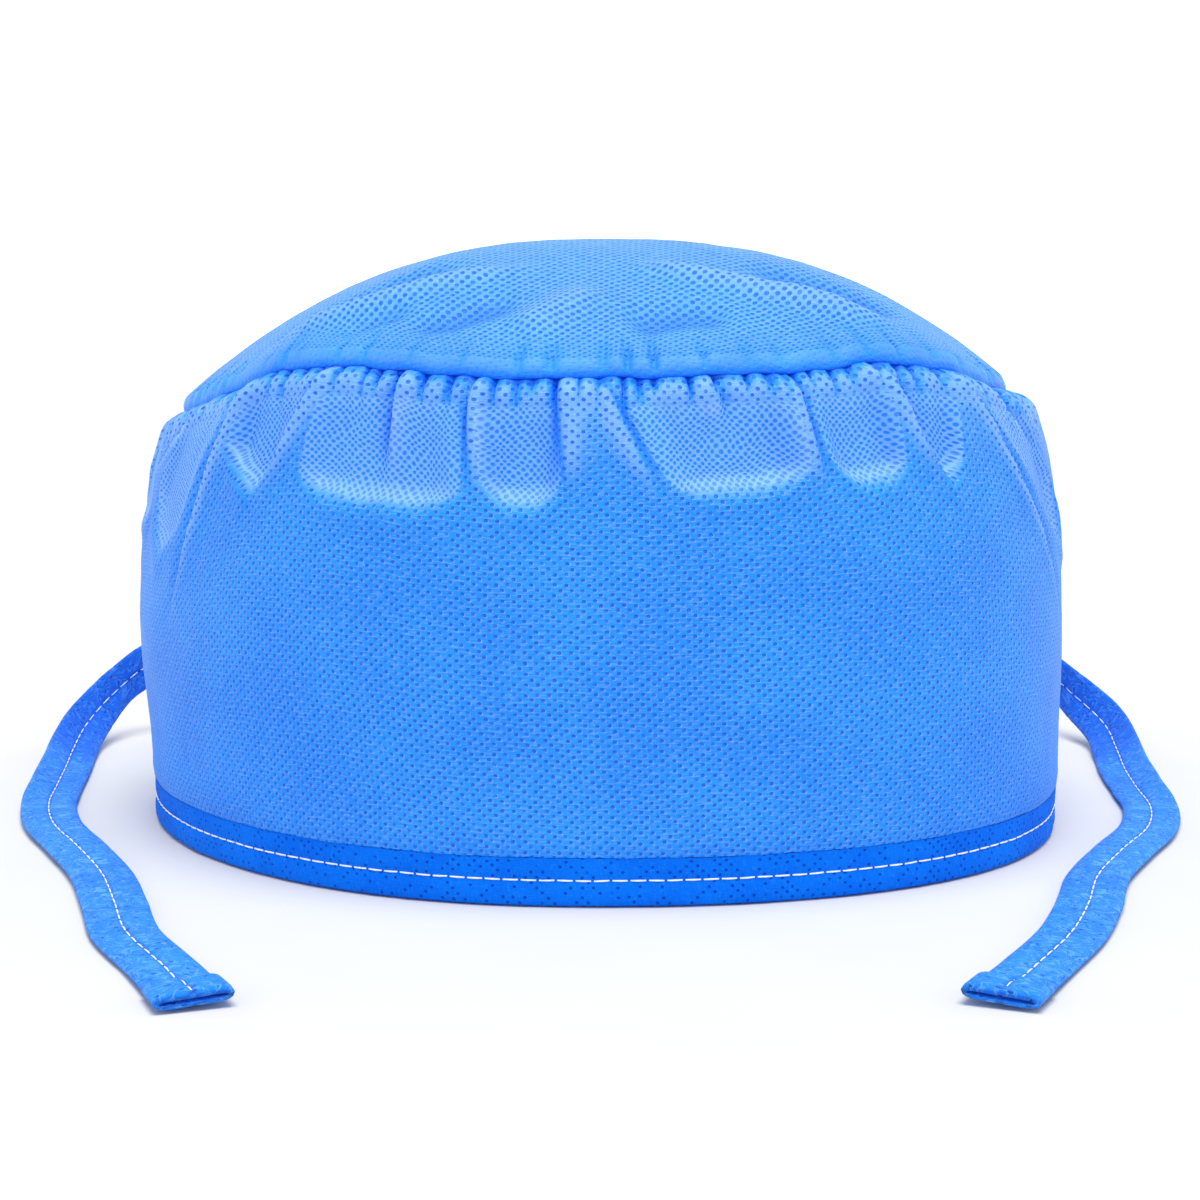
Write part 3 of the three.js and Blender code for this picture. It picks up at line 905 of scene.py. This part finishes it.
# A painted highlight for standing folds, then a painted shade for grooves.
CAP_RIDGE_HIGHLIGHT = dye(134, 182, 255)
CAP_GROOVE_SHADE = dye(0, 104, 238)
# Pale threads, together with the painted highlights of pit rims and fibres.
CAP_PALE_THREADS_AND_HIGHLIGHTS = dye(134, 186, 255)
CAP_PIT = dye(0, 98, 238)


def cap_look():
    """Single cloth with its full lattice of pits. The lower rim of each pit gets a painted
    highlight, where the cloth is gathered the pits crowd into a net of pale threads, and the
    crown's drawn cloth has opener pits with paler threads between them. The pale threads are partly
    the fibres' own tone and partly a painted highlight and sheen. Its lip has hardly any pits."""
    look = Look("cap_cloth_look", Roughness=0.5, Sheen_Weight=0.05, Sheen_Roughness=0.4,
                Sheen_Tint=(0.7, 0.9, 1.0, 1.0), Specular_IOR_Level=0.29)
    drawn = look.painted("drawn")
    # Painted light and shade from the mesh, -1 for shade to 1 for a highlight.
    stands = look.painted("painted_light")
    crowd = look.step(look.painted("gathered"), 0.15, 0.45)
    distance, chance = pressed_points(look, LATTICE, 0.7 * MM)
    below = pressed_points(look, LATTICE, 0.7 * MM, (0.2 * MM, -0.15 * MM))[0]
    net = pressed_points(look, 1.04 * MM, 2.6 * MM)[0]
    flat = look.flat()
    strength = look.step(chance, 0.0, 0.8, 0.7, 1.0) * look.step(drawn, -0.8, -0.2)
    open_more = look.step(drawn, 0.0, 1.0, 0.0, 0.03)
    pit = look.step(distance - open_more, 0.31, 0.12) * strength
    # The pale crescent below each pit is a painted highlight.
    pit_highlight = look.step(below - open_more, 0.32, 0.14) * strength * (1 - pit)
    hole = look.step(net, 0.46, 0.14)
    web = look.speckle(look.slanted(flat, LATTICE_TURN, 1.0, 6.0), 2.4 * MM)
    fibre = look.speckle(look.slanted(flat, 0.6, 1.0, 3.0), 0.9 * MM)
    blotch = look.speckle(flat, 22 * MM, 3.0)
    dark = pit * (1 - crowd) + hole * crowd * 0.42
    bare = look.step(drawn, -0.8, -0.2, 0.3, 1.0)
    # Pit rims and the slanting streaks of the web are painted highlights on the fibres.
    pale = (pit_highlight * 0.55 + look.step(web, 0.45, 0.75) * 0.3 * bare) * (1 - crowd)
    pale = pale + (1 - hole) * crowd * 0.62
    # The drawn crown's threads are painted paler still, a painted sheen.
    pale = pale + look.step(drawn, 0.0, 1.0, 0.0, 0.3) * look.step(distance, 0.3, 0.5)
    height = 0.6 + 0.14 * fibre + 0.16 * web + 0.25 * pale - 0.6 * dark
    body = look.mix(look.step(blotch, 0.3, 0.7), CAP_BLUE, CAP_BLUE_LIGHT)
    # Standing folds, shelves, puffs and the top of the lip get a painted highlight, and grooves,
    # tucks and the lip's underside a painted shade.
    ridge = look.mix(look.step(stands, 0.0, 1.0) * 0.62, body, CAP_RIDGE_HIGHLIGHT)
    ridge = look.mix(look.step(stands, 0.0, -1.0) * 0.85, ridge, CAP_GROOVE_SHADE)
    painted_light = look.mix(pale * look.step(stands, -1.2, 0.2), ridge, CAP_PALE_THREADS_AND_HIGHLIGHTS)
    look.feed("Base Color", look.mix(dark * 0.95, painted_light, CAP_PIT))
    look.relief(height, PIT_DEEP)
    return look.material


def direction_of(vert):
    """Direction of a spun vertex in degrees. The steps are finer at the front of the cap."""
    around = math.atan2(vert.co.x, -vert.co.y)
    return round(math.degrees(around - FRONT_SHARE * math.sin(around)), 4)


def give_wall(cloth):
    """Gives a single cloth its thickness, inwards."""
    wall = cloth.modifiers.new("cloth", "SOLIDIFY")
    wall.thickness = CLOTH_THICK
    wall.offset = -1


bm = spun(BAND_LINES, BAND_STEPS)
gathers = bm.verts.layers.float.new("gathered")
# Painted light and shade of each point, -1 for painted shade to 1 for a painted highlight.
stands = bm.verts.layers.float.new("painted_light")
band_flat = {}
for vert in bm.verts:
    degrees = direction_of(vert)
    # The lines crowd towards the gathers.
    share = 1 - (1 - round(vert.co.z, 5)) ** BAND_LINES_CROWD
    along = math.radians(degrees) / math.tau * BAND_CLOTH_ROUND
    band_flat[vert] = (along, share * BAND_CLOTH_TALL)
    row = mix(BAND_ROWS[0][0], BAND_TOP_ROW, share)
    vert.co, vert[gathers], vert[stands] = band_point(degrees, row)
cap_cloth = cap_look()
band = finished(bm, "band_cloth", cap_cloth, lambda vert: band_flat[vert], BAND_CLOTH_ROUND)
give_wall(band)

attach(band, "root")
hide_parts("side_band")


# ---- Crown -------------------------------------------------------------------------------
# The top panel is an oval of the same cloth, sewn over the gathered edge of the band. Its turned
# edge stands out as a soft rounded lip, lightly puckered, and the panel sags in long soft folds
# near its front corners.

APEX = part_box("crown")[1].z / MM + 0.3
SEAM_WIDE = 84.3
SEAM_DEEP = 85.2
RIGHT_CUT = 1.5
DOME_POWER = 2.36
DOME_FULLER_RIGHT = 0.26
CROWN_STEPS = 640
CROWN_LINES = 74
CROWN_LINES_CROWD = 1.6
CROWN_CLOTH_REACH = 92 * MM
CROWN_CLOTH_OVAL = 0.8
LIP_CLOTH_TALL = 50 * MM
LIP_START = 0.86
LIP_UNEVEN = 0.5
LIP_WAVES = 17
LIP_FLAT_SIDES = 0.25
PUCKER_IN = 0.26

# Lip from the edge of the dome, round and under: share of the way, out and up in millimetres.
LIP = [
    (0.0, 0.0, 3.9), (0.2, 0.6, 3.15), (0.4, 1.0, 2.1), (0.6, 0.95, 1.0), (0.8, 0.5, 0.3),
    (0.92, -0.6, 0.3), (1.0, -1.9, 0.7),
]

# Long soft folds: a line on plan, half-width and height in millimetres.
CROWN_FOLDS = [
    ([(-70, -48), (-60, -53), (-49, -56.5), (-36, -56.5), (-20, -53), (-8, -48)], 3.4, 2.0),
    ([(-62, -43), (-45, -47), (-34, -45), (-24, -40)], 5.0, -2.6),
    ([(4, -48), (16, -55), (30, -60), (46, -62.7), (60, -59)], 3.4, 2.2),
    ([(26, -47), (38, -50), (48, -50), (60, -46)], 5.4, -2.8),
    ([(-36, -73), (-24, -69), (-12, -64)], 4.2, -2.0),
    ([(4, -76), (14, -72), (26, -70)], 4.2, -2.0),
    ([(-16, -77), (-8, -71), (2, -62)], 4.0, 1.6),
    ([(-50, -69), (-41, -65), (-32, -63)], 3.4, -1.6),
]


def from_line(x, y, points):
    """How far a place is from a line through points, and how near to the line's middle it is,
    from 0 at its ends to 1."""
    here = Vector((x, y))
    nearest, nearest_share = math.inf, 0.0
    for k, (a, b) in enumerate(zip(points, points[1:])):
        start, way = Vector(a), Vector(b) - Vector(a)
        share = max(0.0, min(1.0, (here - start).dot(way) / way.length_squared))
        off = (here - start - way * share).length
        if off < nearest:
            nearest, nearest_share = off, (k + share) / (len(points) - 1)
    return nearest, 1 - abs(2 * nearest_share - 1)


def crown_folds(x, y):
    """Height of the long soft folds at a place on plan. They fade towards their ends."""
    height = 0.0
    for points, wide, tall in CROWN_FOLDS:
        off, inner = from_line(x, y, points)
        if off < 3 * wide:
            height += tall * bell(off, wide) * ease(inner * 1.8)
    return height


def crown_edge(turn):
    """How far out the dome's edge lies on plan, in millimetres. The right-hand side is cut in."""
    return reach(turn, SEAM_WIDE, SEAM_DEEP) - RIGHT_CUT * ease((math.sin(turn) - 0.55) / 0.45)


def dome_point(degrees, share):
    """Distance from the middle and height of the dome, and its painted light and shade, from -1
    to 1. share is 0 in the middle and 1 at the lip."""
    turn = math.radians(degrees)
    edge = crown_edge(turn)
    radius = edge * share
    fuller = DOME_POWER + DOME_FULLER_RIGHT * max(0.0, math.sin(turn))
    z = mix(APEX, seam_high(degrees) + LIP[0][2], share ** fuller)
    from_edge = edge - radius
    x, y = radius * math.sin(turn), -radius * math.cos(turn)
    folds = crown_folds(x, y) * ease((1 - share) / 0.12)
    z += folds
    z += 0.2 * noise.noise(Vector((x, y, 0)) / 15) + 0.14 * noise.noise(Vector((x, y, 9)) / 5)
    # The lip's puckers run out a little way into the dome.
    tuck = 0.0
    for part, deep, long in tucks_near(degrees, True):
        tuck += part * deep * bell(from_edge, 0.7 * long)
    # Fold crests and a band just inside the lip get a painted highlight, fold hollows and the
    # puckers a painted shade.
    shade = 0.3 * folds + 0.3 * bell(from_edge - 3, 3) - 0.24 * tuck
    return radius - PUCKER_IN * tuck, z - 0.34 * tuck, shade


def lip_point(degrees, share):
    """The same for the lip, with share from 0 at the dome to 1 underneath."""
    turn = math.radians(degrees)
    out, up = through(LIP, share)
    around = Vector((math.cos(turn), math.sin(turn), 3))
    out *= 1 + LIP_UNEVEN * noise.noise(around * LIP_WAVES)
    out *= 1 - LIP_FLAT_SIDES * math.sin(turn) ** 2
    tuck = sum(part * deep for part, deep, long in tucks_near(degrees, True))
    radius = crown_edge(turn) + out - PUCKER_IN * tuck * mix(0.3, 1.0, ease((up - 0.8) / 2))
    z = seam_high(degrees) + up - 0.24 * tuck * ease((up - 0.4) / 2.5)
    # The lip is painted paler on top, a painted highlight, and darker towards its underside and at
    # its puckers, a painted shade.
    return radius, z, 0.4 - 0.16 * tuck - 0.9 * ease((2.2 - up) / 2.2)


bm = spun(CROWN_LINES, CROWN_STEPS)
draws = bm.verts.layers.float.new("drawn")
# Painted light and shade of each point, -1 for painted shade to 1 for a painted highlight.
stands = bm.verts.layers.float.new("painted_light")
crown_flat = {}
for vert in bm.verts:
    degrees, line = direction_of(vert), round(vert.co.z, 5)
    turn = math.radians(degrees)
    share = line / LIP_START
    past = max(0.0, line - LIP_START)
    cloth_out = CROWN_CLOTH_REACH * min(1.0, share) + past * LIP_CLOTH_TALL
    crown_flat[vert] = (cloth_out * math.sin(turn), -CROWN_CLOTH_OVAL * cloth_out * math.cos(turn))
    if line < LIP_START:
        # The lines crowd towards the lip.
        share = mix(share, 1 - (1 - share) ** CROWN_LINES_CROWD, 0.6)
        radius, z, vert[stands] = dome_point(degrees, share)
    else:
        radius, z, vert[stands] = lip_point(degrees, past / (1 - LIP_START))
    vert.co = place(turn, radius * MM, z * MM)
    # The pits are open over the dome, close towards the lip and nearly gone on it.
    vert[draws] = mix(-0.6, 0.2 + 0.8 * ease((0.8 - line) / 0.08), ease((0.87 - line) / 0.03))
bmesh.ops.remove_doubles(bm, verts=bm.verts[:], dist=0.001 * MM)
crown = finished(bm, "crown_cloth", cap_cloth, lambda vert: crown_flat[vert])
give_wall(crown)

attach(crown, "root")
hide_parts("crown")


# ---- Table and light ---------------------------------------------------------------------
# A white table top without an edge, in a bright white room with one wide soft light above.

TABLE_HALF = 6
TABLE_WHITE = dye(220, 220, 219)
TABLE_SHADE = dye(216, 216, 215)
GRAIN_PER_METRE = 30.0
WALLS_BRIGHT = 1.26
CEILING_BRIGHT = 0.45
WALLS_UP_TO = 0.2
CEILING_FROM = 0.75
SKYLIGHT_BRIGHT = 2.7
SKYLIGHT_WIDE = math.radians(42)

bm = bmesh.new()
bmesh.ops.create_grid(bm, x_segments=1, y_segments=1, size=TABLE_HALF)
floor_mesh = bpy.data.meshes.new("table_top")
bm.to_mesh(floor_mesh)
bm.free()
floor = bpy.data.objects.new("table_top", floor_mesh)
bpy.context.collection.objects.link(floor)
white = Look("white_table", Roughness=0.9, Specular_IOR_Level=0.0)
on_table = white.node("ShaderNodeTexCoord", {}, {})["Object"]
grain = white.node("ShaderNodeTexNoise", {}, {"Vector": on_table, "Scale": GRAIN_PER_METRE})
white.feed("Base Color", white.mix(grain, TABLE_SHADE, TABLE_WHITE))
floor_mesh.materials.append(white.material)

room = bpy.data.worlds.new("white_room")
room.use_nodes = True
room_nodes = room.node_tree.nodes
walls = room_nodes["Background"]
walls.inputs["Color"].default_value = (1, 1, 1, 1)
# The walls are bright up to a fifth of the way, and fade into a soft grey ceiling.
way = room_nodes.new("ShaderNodeTexCoord")
height = room_nodes.new("ShaderNodeSeparateXYZ")
fade = room_nodes.new("ShaderNodeMapRange")
fade.inputs["From Min"].default_value = WALLS_UP_TO
fade.inputs["From Max"].default_value = CEILING_FROM
fade.inputs["To Min"].default_value = WALLS_BRIGHT
fade.inputs["To Max"].default_value = CEILING_BRIGHT
room.node_tree.links.new(way.outputs["Generated"], height.inputs["Vector"])
room.node_tree.links.new(height.outputs["Z"], fade.inputs["Value"])
room.node_tree.links.new(fade.outputs["Result"], walls.inputs["Strength"])
bpy.context.scene.world = room
bpy.context.scene.view_settings.view_transform = "Standard"

skylight = bpy.data.lights.new("skylight", "SUN")
skylight.energy = SKYLIGHT_BRIGHT
skylight.angle = SKYLIGHT_WIDE
above = bpy.data.objects.new("skylight", skylight)
above.rotation_euler = (math.radians(10), math.radians(3), 0)
above.location = (0, -0.4, 1)
bpy.context.collection.objects.link(above)
